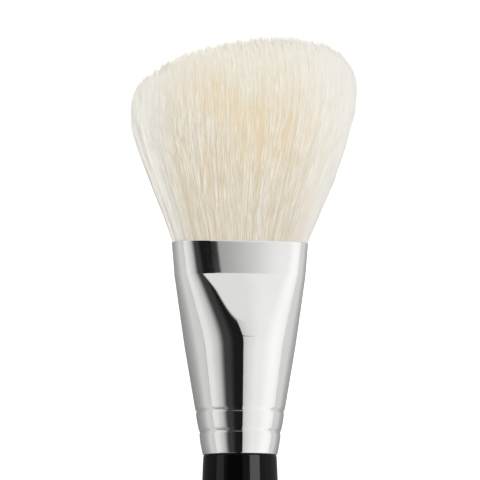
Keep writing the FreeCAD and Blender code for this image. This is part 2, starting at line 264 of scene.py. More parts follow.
# The studio's other parts in degrees round from the camera and above its level. The veil and
# the gap beside it lie at the same heights.
STAND_TOP = 33.0
STAND_TOP_SOFT = 1.5
STAND_TOP_LIGHT = 0.78
VEIL_HEIGHTS = (11.3, 12.0, 14.0, 14.7)
VEIL_AROUND = (6, 9, 12, 40)
VEIL_SHADE = 0.40
GAP_AROUND = (6, 7, 10, 10.8)
GAP_SHADE = 0.95
LEFT_DIM_HEIGHTS = (-48, -14)
LEFT_DIM_AROUND = (-50, -30)
LEFT_DIM_SHADE = 0.65


def lay_out(x, y, z):
    """Row-frame points from arrays in the brush's own axes: the foot plus each axis times its
    coordinate."""
    return FOOT + x[..., None] * ACROSS + y[..., None] * BACK + z[..., None] * UP


def add_mesh(name, points, faces, material, smooth=True):
    """A mesh object from an array of points and an array of faces with equal corner counts."""
    mesh = bpy.data.meshes.new(name)
    corners = faces.shape[1]
    mesh.vertices.add(len(points))
    mesh.vertices.foreach_set("co", np.ascontiguousarray(points, dtype=np.float32).ravel())
    mesh.loops.add(faces.size)
    mesh.loops.foreach_set("vertex_index", faces.astype(np.int32).ravel())
    mesh.polygons.add(len(faces))
    mesh.polygons.foreach_set("loop_start", np.arange(0, faces.size, corners, dtype=np.int32))
    mesh.update(calc_edges=True)
    mesh.polygons.foreach_set("use_smooth", np.full(len(faces), smooth))
    mesh.materials.append(material)
    piece = bpy.data.objects.new(name, mesh)
    bpy.context.scene.collection.objects.link(piece)
    return piece


def ring_faces(rows, columns, closed_rows=False):
    """Quads of a grid whose columns go round: row i, column j joins row i + 1 and column j + 1,
    and the last row joins the first one too where closed_rows is true."""
    i = np.arange(rows if closed_rows else rows - 1)[:, None]
    j = np.arange(columns)[None, :]
    low, high = i * columns, ((i + 1) % rows) * columns
    following = (j + 1) % columns
    quads = np.stack([low + j, low + following, high + following, high + j], axis=-1)
    return quads.reshape(-1, 4)


def oval_turns(side_steps, face_steps):
    """Directions of the outward normal round an oval of four arcs, from -90 degrees less the face
    angle on: side_steps on each long-turning side arc and face_steps on each flat face arc."""
    quarter = math.pi / 2
    spans = []
    for number in range(4):
        middle = number * quarter
        half = quarter - FACE_ANGLE if number % 2 == 0 else FACE_ANGLE
        steps = side_steps if number % 2 == 0 else face_steps
        spans.append(np.linspace(middle - half, middle + half, steps, endpoint=False))
    return np.concatenate(spans)


def oval_at(half_width, half_depth, turn):
    """Points of ovals with the given outward normals. A side arc is centred one pinch off the
    axis, and a face arc, of larger radius, is centred behind the axis, so that both share their
    tangent where they meet. Equal halves give a circle."""
    pinch = (half_width - half_depth) / (1 - math.tan(FACE_ANGLE / 2))
    side = half_width - pinch
    face = side + pinch / math.sin(FACE_ANGLE)
    on_face = np.abs(np.cos(turn)) < math.sin(FACE_ANGLE) + 1e-9
    radius = np.where(on_face, face, side)
    middle_x = np.where(on_face, 0.0, np.sign(np.cos(turn)) * pinch)
    middle_y = np.where(on_face, -np.sign(np.sin(turn)) * (face - half_depth), 0.0)
    return middle_x + radius * np.cos(turn), middle_y + radius * np.sin(turn)


def oval_points(half_width, half_depth, turns):
    """One row of points for each oval of a stack, at the same turns."""
    return oval_at(np.asarray(half_width)[:, None], np.asarray(half_depth)[:, None], turns[None, :])


def cone_radius(height):
    """Outer radius of the round cone: even growth from the foot."""
    return FOOT_RADIUS + (CONE_RADIUS - FOOT_RADIUS) * height / CONE_LENGTH


def ferrule_halves(height):
    """Half width and half depth of the ferrule at heights. The sides run straight in three
    stretches. The faces sink along a hyperbola from the cone to the crease, and a little more
    steeply just below it. The band joins crease and mouth evenly."""
    step = np.clip((height - CONE_LENGTH) / (CREASE_HEIGHT - CONE_LENGTH), 0, 1)
    fade = PRESS_FADE_RATIO
    sunk = (np.sqrt(step ** 2 + fade ** 2) - fade) / (math.sqrt(1 + fade ** 2) - fade)
    width = CONE_RADIUS + step * (CREASE_HALF_WIDTH - CONE_RADIUS)
    depth = width - sunk * (CREASE_HALF_WIDTH - CREASE_HALF_DEPTH)
    band = np.clip((height - CREASE_HEIGHT) / BAND_LENGTH, 0, 1)
    width = width + band * (MOUTH_HALF_WIDTH - CREASE_HALF_WIDTH)
    depth = depth + band * (MOUTH_HALF_DEPTH - CREASE_HALF_DEPTH)
    dip = np.clip((height - CREASE_HEIGHT) / CREASE_DIP_LENGTH + 1, 0, 1) ** CREASE_DIP_CURVE
    depth = depth - CREASE_DIP * dip * (1 - band)
    low = height < CONE_LENGTH
    return np.where(low, cone_radius(height), width), np.where(low, cone_radius(height), depth)


def crimp_offset(height):
    """How far the crimped bands stand off the plain cone: each crimp sinks evenly over its short
    lower flank and comes back with a soft shoulder over its upper one, and the bands below the
    crimps bulge by a parabola whose height is the chord squared over eight radii."""
    offset = np.zeros_like(height)
    edges = (0.0,) + tuple(crimp + CRIMP_RISE for crimp in CRIMPS)
    for start, crimp in zip(edges, CRIMPS):
        chord = crimp - CRIMP_DROP - start
        share = np.clip((height - start) / chord, 0, 1)
        bulge = chord ** 2 / (8 * BARREL_RADIUS)
        offset += bulge * 4 * share * (1 - share)
        fall = np.clip((height - crimp + CRIMP_DROP) / CRIMP_DROP, 0, 1)
        rise = np.clip((height - crimp) / CRIMP_RISE, 0, 1)
        offset -= CRIMP_DEPTH * (fall - np.sin(rise * math.pi / 2))
    return offset


def make_ferrule(material):
    """A closed shell on one grid: outer wall upwards and rolled in a little below the rim, rounded
    rim, inner wall down to the foot. Each row is an oval, and the last row joins the first along
    the foot's edge."""
    rim = WALL / 2
    rim_height = FERRULE_LENGTH - rim
    roll_height = FERRULE_LENGTH - RIM_ROLL_LENGTH
    ends = (FOOT_EDGE, CRIMPS_END, CONE_LENGTH, CREASE_HEIGHT - CREASE_ZONE,
            CREASE_HEIGHT + CREASE_ZONE, roll_height)
    outer = [np.linspace(low, high, rows, endpoint=False)
             for low, high, rows in zip(ends, ends[1:], OUTER_ROWS)]
    outer = np.concatenate(outer + [np.linspace(roll_height, rim_height, ROLL_ROWS)])
    rolled = np.clip((outer - roll_height) / RIM_ROLL_LENGTH, 0, 1) ** 2 * RIM_ROLL
    arc = np.linspace(0, math.pi, RIM_ROWS + 1)[1:]
    inner = np.array([FERRULE_LENGTH - INNER_START, CREASE_HEIGHT, *INNER_HEIGHTS,
                      CONE_LENGTH, CRIMPS_END, FOOT_EDGE])
    heights = np.concatenate([outer, rim_height + rim * np.sin(arc), inner, [0.0, 0.0]])
    offset = np.concatenate([crimp_offset(outer) - rolled, rim * (np.cos(arc) - 1) - rolled[-1],
                             np.full(len(inner), -WALL), [FOOT_EDGE - WALL, -FOOT_EDGE]])
    half_width, half_depth = ferrule_halves(heights)
    turns = oval_turns(*FERRULE_STEPS)
    x, y = oval_points(half_width + offset, half_depth + offset, turns)
    points = lay_out(x, y, np.repeat(heights[:, None], len(turns), axis=1))
    faces = ring_faces(*points.shape[:2], closed_rows=True)
    return add_mesh("polished_ferrule", points.reshape(-1, 3), faces, material)


def bow(start, end, radius, steps):
    """Points of the arc from start to end that bulges to the right of the way, without its end."""
    start, end = np.array(start), np.array(end)
    chord = end - start
    length = np.hypot(*chord)
    right = np.array([chord[1], -chord[0]]) / length
    centre = (start + end) / 2 - right * math.sqrt(radius ** 2 - (length / 2) ** 2)
    first = math.atan2(*(start - centre)[::-1])
    last = math.atan2(*(end - centre)[::-1])
    angles = np.linspace(first, last, steps, endpoint=False)
    return centre + radius * np.stack([np.cos(angles), np.sin(angles)], axis=-1)


def run(start, end, steps):
    """Evenly spaced points of a straight run from start to end, without its end."""
    shares = np.linspace(0, 1, steps, endpoint=False)[:, None]
    return np.array(start) * (1 - shares) + np.array(end) * shares


def make_handle(material):
    """The turned profile carried round the axis: tail, taper, belly, shoulder, ledge and tenon.
    The two ends of the profile lie on the axis and are closed by fans."""
    tail = (TAIL_RADIUS, TAIL_RADIUS - HANDLE_LENGTH)
    taper = (TAPER_RADIUS, -TAPER_DROP)
    belly = (BELLY_RADIUS, -BELLY_DROP)
    neck = (NECK_RADIUS, -NECK_DROP)
    ledge = (LEDGE_RADIUS, 0.0)
    tenon = (TENON_RADIUS, 0.0)
    chamfer = (TENON_RADIUS, TENON_LENGTH - TENON_CHAMFER)
    top = (TENON_RADIUS - TENON_CHAMFER, TENON_LENGTH)
    profile = np.concatenate([
        bow((0.0, -HANDLE_LENGTH), tail, TAIL_RADIUS, 24)[1:],
        run(tail, taper, 80),
        bow(taper, belly, FLOW_BOW, 50),
        bow(belly, neck, SWELL_BOW, 30),
        bow(neck, ledge, SHOULDER_BOW, 16),
        run(ledge, tenon, 3),
        run(tenon, chamfer, 3),
        run(chamfer, top, 2),
        [top],
    ])
    ends = (-HANDLE_LENGTH, TENON_LENGTH)
    return add_turned("lacquered_handle", profile, HANDLE_COLUMNS, ends, material)


def add_turned(name, profile, columns, ends, material):
    """A profile of (radius, height) rows carried round the axis, with a fan to a point on the
    axis at each of the two end heights."""
    turns = np.linspace(0, 2 * math.pi, columns, endpoint=False)
    x = profile[:, :1] * np.cos(turns)
    y = profile[:, :1] * np.sin(turns)
    z = np.repeat(profile[:, 1:], columns, axis=1)
    return add_capped(name, x, y, z, [(0.0, 0.0, end) for end in ends], material)


def add_capped(name, x, y, z, ends, material):
    """A closed piece from rows of rings: the grid between the rings, and a fan from the first ring
    to the first end point and from the last ring to the last one."""
    rows, columns = x.shape
    rings = lay_out(x, y, z).reshape(-1, 3)
    poles = lay_out(*np.array(ends).T)
    points = np.concatenate([rings, poles])
    j = np.arange(columns)
    following = (j + 1) % columns
    last = (rows - 1) * columns
    low_fan = np.stack([following, j, np.full(columns, rows * columns)], axis=-1)
    high_fan = np.stack([last + j, last + following, np.full(columns, rows * columns + 1)], axis=-1)
    quads = ring_faces(rows, columns)
    halves = np.concatenate([quads[:, [0, 1, 2]], quads[:, [0, 2, 3]]])
    return add_mesh(name, points, np.concatenate([halves, low_fan, high_fan]), material)


class Flank:
    """One side of the tuft's outline as three arcs that run into each other: flank, shoulder and
    crown. The shoulder's centre lies one radius less one shoulder from both other centres."""

    def __init__(self, arcs, toward):
        flare, flank, shoulder, crown = arcs
        self.toward = toward
        start = np.array([BORE_HALF_WIDTH, FERRULE_LENGTH])
        peak = np.array([toward * PEAK_SHIFT, PEAK_HEIGHT])
        low = start + flank * np.array([-math.cos(flare), math.sin(flare)])
        high = peak - np.array([0.0, crown])
        reach, rise = flank - shoulder, crown - shoulder
        apart = high - low
        length = np.hypot(*apart)
        along = (reach ** 2 - rise ** 2 + length ** 2) / (2 * length)
        way = apart / length
        beside = np.array([-way[1], way[0]]) * math.sqrt(reach ** 2 - along ** 2)
        middle = low + way * along + beside
        leave, arrive = middle - low, middle - high
        self.centres = np.array([low, middle, high])
        self.radii = np.array([flank, shoulder, crown])
        self.turns = np.array([-flare, math.atan2(leave[1], leave[0]),
                               math.atan2(arrive[1], arrive[0]), math.pi / 2])

    def at(self, share):
        """Across and height at shares of the way from mouth to peak: each arc takes up its own
        stretch of shares, and the point turns evenly within it."""
        ends = np.array((0.0,) + ARC_ENDS)
        number = np.clip(np.searchsorted(ends, share, side="left") - 1, 0, 2)
        part = (share - ends[number]) / (ends[number + 1] - ends[number])
        angle = self.turns[number] + part * (self.turns[number + 1] - self.turns[number])
        across = self.centres[number, 0] + self.radii[number] * np.cos(angle)
        height = self.centres[number, 1] + self.radii[number] * np.sin(angle)
        return self.toward * across, height


LEFT, RIGHT = Flank(LEFT_ARCS, -1), Flank(RIGHT_ARCS, 1)


def tuft_frame(share):
    """Middle across, middle height, half width, half depth and lean of the tuft's ovals at shares
    of the way to the peak. An oval spans from the left to the right side of the outline, and
    its depth opens from the mouth's to the belly's share of the width: gently first, then
    evenly, and softly again up to SWELL_END."""
    left_across, left_height = LEFT.at(share)
    right_across, right_height = RIGHT.at(share)
    span = np.hypot(right_across - left_across, right_height - left_height)
    lean = np.arctan2(right_height - left_height, right_across - left_across)
    opened = np.clip(share / SWELL_END, 0, 1)
    bend = (np.hypot(opened, SWELL_FADE) - SWELL_FADE) / (math.hypot(1, SWELL_FADE) - SWELL_FADE)
    swell = np.sin(bend * math.pi / 2)
    half_depth = BORE_HALF_DEPTH + (span / 2 * BELLY_SHARE - BORE_HALF_DEPTH) * swell
    middle = (left_across + right_across) / 2
    height = (left_height + right_height) / 2
    return middle, height, span / 2, half_depth, lean


def tuft_point(share, reach, turns):
    """Points of the tuft at a share of the way to the peak, at a reach from 0 on the oval's middle
    to 1 on its rim, and where the rim's outward normal has the given turn."""
    middle, height, half_width, half_depth, lean = tuft_frame(share)
    x, y = oval_at(half_width, half_depth, turns)
    return middle + reach * x * np.cos(lean), reach * y, height + reach * x * np.sin(lean)


def make_core(material):
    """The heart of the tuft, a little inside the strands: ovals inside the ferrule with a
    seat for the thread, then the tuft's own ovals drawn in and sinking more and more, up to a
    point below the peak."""
    low, high = THREAD_BAND
    inner = np.array([HAIR_FOOT, low, low, high, high, CONE_LENGTH, *CORE_HEIGHTS, CREASE_HEIGHT])
    width, depth = (half - WALL for half in ferrule_halves(inner))
    width[2:4] = depth[2:4] = THREAD_SEAT
    turns = oval_turns(*CORE_STEPS)
    root_x, root_y = oval_points(width, depth, turns)
    root_z = np.repeat(inner[:, None], len(turns), axis=1)
    share = np.linspace(0, CORE_END, CORE_ROWS)[:, None]
    reach = np.interp(share, CORE_REACH_SHARES, CORE_REACHES)
    head_x, head_y, head_z = tuft_point(share, reach, turns[None, :])
    head_z = head_z - CORE_SINK * share ** 2
    pairs = ((root_x, head_x), (root_y, head_y), (root_z, head_z))
    x, y, z = (np.concatenate(pair) for pair in pairs)
    top = (PEAK_SHIFT, 0.0, PEAK_HEIGHT - CORE_TOP_DROP)
    return add_capped("hair_core", x, y, z, [(0.0, 0.0, HAIR_FOOT), top], material)


def rim_turns():
    """Turns of the rim's outward normal at even steps of length round the belly's oval, from the
    turn where oval_turns starts, as two arrays: share of the way round, and turn."""
    turns = np.append(oval_turns(*RIM_STEPS), 2 * math.pi - math.pi / 2 + FACE_ANGLE)
    half_width = np.array([BELLY_HALF_WIDTH])
    x, y = oval_points(half_width, half_width * BELLY_SHARE, turns)
    steps = np.hypot(np.diff(x[0]), np.diff(y[0]))
    return np.concatenate([[0], np.cumsum(steps)]) / steps.sum(), turns


def depth_at(x, half_width, half_depth):
    """Half depth of an oval at a place x: on the face arc between the joins, else on the side
    arc, and nothing past its end."""
    pinch = (half_width - half_depth) / (1 - math.tan(FACE_ANGLE / 2))
    side = half_width - pinch
    face = side + pinch / math.sin(FACE_ANGLE)
    on_face = np.sqrt(np.maximum(face ** 2 - x ** 2, 0)) - (face - half_depth)
    on_side = np.sqrt(np.maximum(side ** 2 - (np.abs(x) - pinch) ** 2, 0))
    return np.where(np.abs(x) < pinch + side * math.sin(FACE_ANGLE), on_face, on_side)


def tuft_depth(x, z):
    """Half depth of the tuft at points of its front view. The leaning oval through a point is
    found by halving: the point lies above ovals of a smaller share and below the others."""
    low, high = np.zeros_like(x), np.full_like(x, TOP_SHARE)
    for _ in range(HALVINGS):
        share = (low + high) / 2
        middle, height, _, _, lean = tuft_frame(share)
        above = (z - height) * np.cos(lean) > (x - middle) * np.sin(lean)
        low, high = np.where(above, share, low), np.where(above, high, share)
    middle, height, half_width, half_depth, lean = tuft_frame(low)
    place = (x - middle) * np.cos(lean) + (z - height) * np.sin(lean)
    return depth_at(np.clip(place, -half_width, half_width), half_width, half_depth)


def fan_width(z, flank):
    """How far the fan of strands has opened on one side at a height: the outline's own distance
    from the axis, and from its widest place on no more."""
    x, height = flank.at(np.linspace(0, 1, OUTLINE_SAMPLES))
    return np.interp(z, height, np.maximum.accumulate(flank.toward * x))


def fan_room(across, z):
    """The fan's width at a height, on the side of the axis on which a place across lies."""
    return np.where(across < 0, fan_width(z, LEFT), fan_width(z, RIGHT))


def dome_height(x):
    """Height of the tuft's upper outline at a place across, between its widest places."""
    shares = np.linspace(0, 1, OUTLINE_SAMPLES)
    left_x, left_z = LEFT.at(shares)
    right_x, right_z = RIGHT.at(shares)
    left_from, right_from = int(np.argmin(left_x)), int(np.argmax(right_x))
    across = np.concatenate([left_x[left_from:], right_x[right_from:][::-1]])
    height = np.concatenate([left_z[left_from:], right_z[right_from:][::-1]])
    return np.interp(x, across, height)


def strand_places(quarter, rng):
    """The strands on one quarter of the tuft: the lock of each strand, the reach of each lock from
    0 on the axis to 1 on the rim, and each strand's places along its way, across and in depth,
    as shares of the room there. Strands stand round their lock's middle and close up towards
    the tip."""
    count = LOCKS_PER_QUARTER
    lock = np.repeat(np.arange(count), STRANDS_PER_LOCK)
    total = len(lock)
    outer = rng.random(count) < RIM_LOCKS
    reach = np.where(outer, rng.uniform(*RIM_REACH, count), np.sqrt(rng.random(count)))
    ways, turns = rim_turns()
    turn = np.interp((quarter + rng.random(count)) / 4, ways, turns)
    mouth_x, mouth_y = oval_at(BORE_HALF_WIDTH, BORE_HALF_DEPTH, turn)
    fan = reach * mouth_x / BORE_HALF_WIDTH
    layer = reach * mouth_y / depth_at(reach * mouth_x, BORE_HALF_WIDTH, BORE_HALF_DEPTH)
    closing = 1 - LOCK_CLOSING * STRAND_PLACES[None, :] ** 2
    fan = fan[lock, None] + rng.normal(0, FAN_SPREAD, total)[:, None] * closing
    edge = FAN_LIMIT - FAN_LIMIT_SPREAD * rng.random((total, 1)) ** 2
    fan = np.clip(fan, -edge, edge)
    layer = layer[lock, None] + rng.normal(0, LAYER_SPREAD, total)[:, None] * closing
    return lock, reach, fan, np.clip(layer, -LAYER_LIMIT, LAYER_LIMIT)


def wave(along, swing, turn, phase):
    """A sine wave whose swing grows evenly along the strand from nothing."""
    return swing * along * np.sin(turn * along + phase)


def strand_paths(quarter, rng):
    """Middle lines of the strands on one quarter of the tuft, and a tone for each. Seen from the
    front a strand runs up a fan between the two flanks to the dome, which is a little lower at
    the left shoulder. In depth it opens with the tuft to the belly and goes straight on until
    it meets the dome, which it then follows. Strands near the faces end at different heights. A
    slow wave of the lock and a small one of the strand grow along the way. Lengths are uneven,
    with some strands longer than the rest."""
    lock, reach, fan, layer = strand_places(quarter, rng)
    count, total = len(reach), len(lock)
    along = STRAND_PLACES[None, :]
    tip = fan[:, -1:]
    top = dome_height(tip * fan_room(tip, PEAK_HEIGHT))
    start, end = SHOULDER_SHARES
    shoulder = np.clip((-tip - start) / (end - start), 0, 1)
    top = top - SHOULDER_DROP * np.sin(math.pi * shoulder) ** 2
    ended = 1 - FACE_SHORTENING * layer[:, -1:] ** 4 * rng.random((total, 1)) ** 1.5
    z = STRAND_FOOT + (top - STRAND_FOOT) * ended * along
    x = fan * fan_room(fan, z)
    room = tuft_depth(x, z)
    limit = (DEPTH_LIMIT + DEPTH_LIMIT_SPREAD * rng.random((total, 1))) * room
    y = np.clip(layer * np.maximum.accumulate(room, axis=1), -limit, limit)
    phase = rng.uniform(0, 2 * math.pi, (count, 2))[lock]
    own = rng.uniform(0, 2 * math.pi, (total, 2))
    x = x + wave(along, *LOCK_WAVE, phase[:, :1]) + wave(along, *STRAND_WAVE, own[:, :1])
    y = y + wave(along, *DEPTH_WAVE, own[:, 1:])
    longer = rng.normal(0, LOCK_LENGTH_SPREAD, count)[lock]
    longer = longer + rng.normal(0, STRAND_LENGTH_SPREAD, total)
    is_long = rng.random(total) < LONG_STRANDS
    longer = longer + np.where(is_long, rng.uniform(0, LONG_EXTRA, total), 0)
    z = z + longer[:, None] * along ** 4
    tone = rng.normal(MIDDLE_TONE, LOCK_TONE_SPREAD, count)[lock]
    # Painted shade: the locks nearer the middle lose tone.
    tone = tone + rng.normal(0, STRAND_TONE_SPREAD, total) - INNER_PAINTED_SHADE * (1 - reach[lock])
    return lay_out(x, y, z), np.clip(tone, 0, 1)


def strand_tubes(points, thickness):
    """Three-sided tubes round middle lines: each ring's corners stand off the line by the radius
    there, along two directions square to the line. The radius grows evenly from the root and
    is tapered by the way's cube. The last point is the tip itself."""
    way = np.gradient(points, STRAND_PLACES, axis=1)
    way /= np.linalg.norm(way, axis=2, keepdims=True)
    first = np.cross(way, ASLANT)
    first /= np.linalg.norm(first, axis=2, keepdims=True)
    second = np.cross(way, first)
    share = STRAND_PLACES[:STRAND_RINGS]
    profile = (ROOT_THICKNESS_RATIO + THICKNESS_GROWTH * share) * (1 - TIP_TAPER * share ** 3)
    radius = thickness / 2 * profile[None, :, None, None]
    corners = np.arange(3) * 2 * math.pi / 3
    spread = (np.cos(corners)[None, None, :, None] * first[:, :STRAND_RINGS, None, :]
              + np.sin(corners)[None, None, :, None] * second[:, :STRAND_RINGS, None, :])
    rings = points[:, :STRAND_RINGS, None, :] + radius * spread
    return np.concatenate([rings.reshape(len(points), -1, 3), points[:, -1:, :]], axis=1)


def strand_pattern():
    """Triangles of one strand and their places in a unit cell of its UV map: two for each side
    between two rings, three at the tip and one that closes the root, just below the cell."""
    triangles, cells = [], []
    for ring in range(STRAND_RINGS - 1):
        for corner in range(3):
            following = (corner + 1) % 3
            low, high = 3 * ring, 3 * ring + 3
            triangles.append((low + corner, low + following, high + following))
            triangles.append((low + corner, high + following, high + corner))
            left, right = corner / 3, (corner + 1) / 3
            bottom, top = ring / STRAND_RINGS, (ring + 1) / STRAND_RINGS
            cells.append(((left, bottom), (right, bottom), (right, top)))
            cells.append(((left, bottom), (right, top), (left, top)))
    last = 3 * (STRAND_RINGS - 1)
    for corner in range(3):
        left, right = corner / 3, (corner + 1) / 3
        bottom = (STRAND_RINGS - 1) / STRAND_RINGS
        triangles.append((last + corner, last + (corner + 1) % 3, 3 * STRAND_RINGS))
        cells.append(((left, bottom), (right, bottom), ((left + right) / 2, 1.0)))
    triangles.append((2, 1, 0))
    cells.append(ROOT_CELL)
    return np.array(triangles), np.array(cells)


def cell_corners(total, cells):
    """UV places of all strands: each one's unit cell, shrunk and set in by a margin, in its own
    square of a grid over the map."""
    grid = math.ceil(math.sqrt(total))
    corner = np.stack([np.arange(total) % grid, np.arange(total) // grid], axis=-1)
    return (corner[:, None, None, :] + CELL_MARGIN + CELL_FILL * cells[None]) / grid


def make_lock_piece(name, quarter, material):
    """A quarter of the tuft's strands as one mesh, with the strand's tone, the way along it and
    the height above the mouth as attributes, and a UV map with one cell for each strand."""
    rng = np.random.default_rng(SEED + quarter)
    middles, tone = strand_paths(quarter, rng)
    points = strand_tubes(middles, STRAND_THICKNESS).reshape(-1, 3)
    total = len(middles)
    triangles, cells = strand_pattern()
    faces = triangles[None] + STRAND_POINTS * np.arange(total)[:, None, None]
    piece = add_mesh(name, points, faces.reshape(-1, 3), material)
    uv = piece.data.uv_layers.new(name="OFBake")
    uv.uv.foreach_set("vector", cell_corners(total, cells).astype(np.float32).ravel())
    along = np.append(np.repeat(STRAND_PLACES[:STRAND_RINGS], 3), 1.0)
    add_values(piece, "tone", np.repeat(tone, STRAND_POINTS))
    add_values(piece, "along", np.tile(along, total))
    add_values(piece, "rise", (points - FOOT) @ UP - FERRULE_LENGTH)
    soften_normals(piece, points)
    return piece


def soften_normals(piece, points):
    """Turns each point's normal most of the way to the tuft's own outward direction there, so
    that the hair shades as one soft mass. That direction turns only part of the way to the
    side, more of it at the tuft's sides and tips. It leans down at the mouth and more and
    more up towards the tips, and near the tips it turns to straight up the closer the point
    lies to the tuft's middle line. The share of the way out to the side is kept for the
    material."""
    offset = points - FOOT
    x, y, z = offset @ ACROSS, offset @ BACK, offset @ UP
    share = np.clip((z - FERRULE_LENGTH) / HAIR_LENGTH, 0, 1)
    side = np.clip(np.abs(x) / fan_room(x, z), 0, 1)
    layer = np.clip(np.abs(y) / (tuft_depth(x, z) + 1e-6), 0, 1)
    reach = np.sqrt(side ** 2 + layer ** 2 * (1 - side ** 2))
    add_values(piece, "side", side)
    inward = (share ** 2 * (1 - reach))[:, None]
    across = x * (WHOLE_TURN + SIDE_TURN * side ** 4 + TIP_TURN * share ** 2 * (1 - layer))
    level = across[:, None] * ACROSS + (y / BELLY_SHARE ** 2)[:, None] * BACK
    level /= np.linalg.norm(level, axis=1, keepdims=True) + 1e-9
    lean = MOUTH_LEAN + (TIP_LEAN - MOUTH_LEAN) * share ** LEAN_CURVE
    tilt = np.radians(lean)[:, None]
    outward = (1 - inward) * np.cos(tilt) * level + (np.sin(tilt) + inward) * UP
    outward /= np.linalg.norm(outward, axis=1, keepdims=True) + 1e-9
    own = np.zeros(points.size, dtype=np.float32)
    piece.data.vertex_normals.foreach_get("vector", own)
    mixed = SOFTNESS * outward + (1 - SOFTNESS) * own.reshape(-1, 3)
    mixed /= np.linalg.norm(mixed, axis=1, keepdims=True)
    piece.data.normals_split_custom_set_from_vertices(mixed)


def add_values(piece, name, values):
    """A number for each point of a mesh, for its material to read."""
    attribute = piece.data.attributes.new(name, "FLOAT", "POINT")
    attribute.data.foreach_set("value", np.ascontiguousarray(values, dtype=np.float32))


def linear(red, green, blue):
    """A colour from its screen values of 0 to 255, as the shaders take it."""
    shares = np.array([red, green, blue]) / 255
    low, high = shares / 12.92, ((shares + 0.055) / 1.055) ** 2.4
    return (*np.where(shares <= 0.04045, low, high).tolist(), 1.0)


def feed(tree, socket, value):
    """Links a socket's value to a shader input, or sets a plain value on it."""
    if isinstance(value, bpy.types.NodeSocket):
        tree.links.new(value, socket)
    else:
        socket.default_value = value


def add_node(tree, kind, inputs=None, **settings):
    """A shader node with its settings, and each named input linked or set."""
    node = tree.nodes.new(kind)
    for name, value in settings.items():
        setattr(node, name, value)
    for name, value in (inputs or {}).items():
        feed(tree, node.inputs[name], value)
    return node


def start_material(name, **values):
    """A new material with its shader's sockets set, as (material, node tree, shader)."""
    material = bpy.data.materials.new(name)
    material.use_nodes = True
    shader = material.node_tree.nodes["Principled BSDF"]
    for socket, value in values.items():
        shader.inputs[socket.replace("_", " ")].default_value = value
    return material, material.node_tree, shader


def ramp(tree, factor, stops):
    """A colour ramp over a factor, from pairs of place and colour."""
    node = add_node(tree, "ShaderNodeValToRGB", {"Fac": factor})
    elements = node.color_ramp.elements
    while len(elements) < len(stops):
        elements.new(0.5)
    for element, (place, colour) in zip(elements, stops):
        element.position = place
        element.color = colour
    return node.outputs["Color"]


def noise(tree, vector, scale, detail=3.0):
    """A grey noise pattern at a scale per metre."""
    inputs = {"Vector": vector, "Scale": scale, "Detail": detail}
    return add_node(tree, "ShaderNodeTexNoise", inputs).outputs["Fac"]


def spread(tree, value, low, high):
    """A value of 0 to 1 stretched to run from low to high."""
    inputs = {"Value": value, "To Min": low, "To Max": high}
    return add_node(tree, "ShaderNodeMapRange", inputs).outputs["Result"]


def calculate(tree, operation, *values):
    """The result of a Math node on numbers or sockets."""
    return add_node(tree, "ShaderNodeMath", dict(enumerate(values)), operation=operation).outputs["Value"]


def dot(tree, vector, axis):
    """How far a vector points along an axis."""
    inputs = {0: vector, 1: tuple(axis)}
    return add_node(tree, "ShaderNodeVectorMath", inputs, operation="DOT_PRODUCT").outputs["Value"]


def product(tree, first, second):
    """Two values multiplied."""
    return calculate(tree, "MULTIPLY", first, second)


def rising(tree, value, low, high):
    """Goes smoothly from 0 to 1 as a value goes from low to high."""
    inputs = {"Value": value, "From Min": low, "From Max": high}
    return add_node(tree, "ShaderNodeMapRange", inputs, interpolation_type="SMOOTHSTEP").outputs["Result"]


def falling(tree, value, low, high):
    """Goes smoothly from 1 to 0 as a value goes from low to high."""
    return calculate(tree, "SUBTRACT", 1.0, rising(tree, value, low, high))


def window(tree, value, start, full, fade, end):
    """One between full and fade, and falling smoothly to zero at start and at end."""
    return product(tree, rising(tree, value, start, full), falling(tree, value, fade, end))


def mix_colours(tree, factor, first, second):
    """Two colours mixed by a factor."""
    node = add_node(tree, "ShaderNodeMix", data_type="RGBA")
    for number, value in ((0, factor), (6, first), (7, second)):
        feed(tree, node.inputs[number], value)
    return node.outputs[2]


def object_place(tree):
    """The place on the object, in metres."""
    return add_node(tree, "ShaderNodeTexCoord").outputs["Object"]


def split_across(tree, place):
    """The part of a place that lies across the brush."""
    return add_node(tree, "ShaderNodeSeparateXYZ", {0: place}).outputs["X"]


def attribute_value(tree, name):
    """A number that the mesh holds for each point."""
    return add_node(tree, "ShaderNodeAttribute", attribute_name=name).outputs["Fac"]


def roughen(tree, shader, height, strength, distance):
    """Gives a shader a fine relief from a pattern of heights."""
    inputs = {"Height": height, "Strength": strength, "Distance": distance}
    bump = add_node(tree, "ShaderNodeBump", inputs)
    tree.links.new(bump.outputs["Normal"], shader.inputs["Normal"])


def polished_metal():
    """Nickel plate with a mirror polish: faint smears change its gloss."""
    material, tree, shader = start_material("polished_metal", Metallic=1.0)
    place = object_place(tree)
    smears = noise(tree, place, 160.0, 4.0)
    tree.links.new(spread(tree, smears, 0.035, 0.085), shader.inputs["Roughness"])
    tint = ramp(tree, smears, [(0.3, (0.90, 0.895, 0.88, 1)), (0.7, (0.93, 0.925, 0.915, 1))])
    tree.links.new(tint, shader.inputs["Base Color"])
    roughen(tree, shader, noise(tree, place, 2500.0, 2.0), 0.02, 0.02 * MM)
    return material


def black_lacquer():
    """Black lacquer on wood: a deep black with a low sheen and a faint unevenness."""
    material, tree, shader = start_material("black_lacquer", Specular_IOR_Level=0.1)
    place = object_place(tree)
    cloud = noise(tree, place, 90.0, 3.0)
    tint = ramp(tree, cloud, [(0.3, linear(3, 3, 3)), (0.7, linear(6, 5, 5))])
    tree.links.new(tint, shader.inputs["Base Color"])
    tree.links.new(spread(tree, cloud, 0.06, 0.12), shader.inputs["Roughness"])
    roughen(tree, shader, noise(tree, place, 700.0, 2.0), 0.05, 0.05 * MM)
    return material


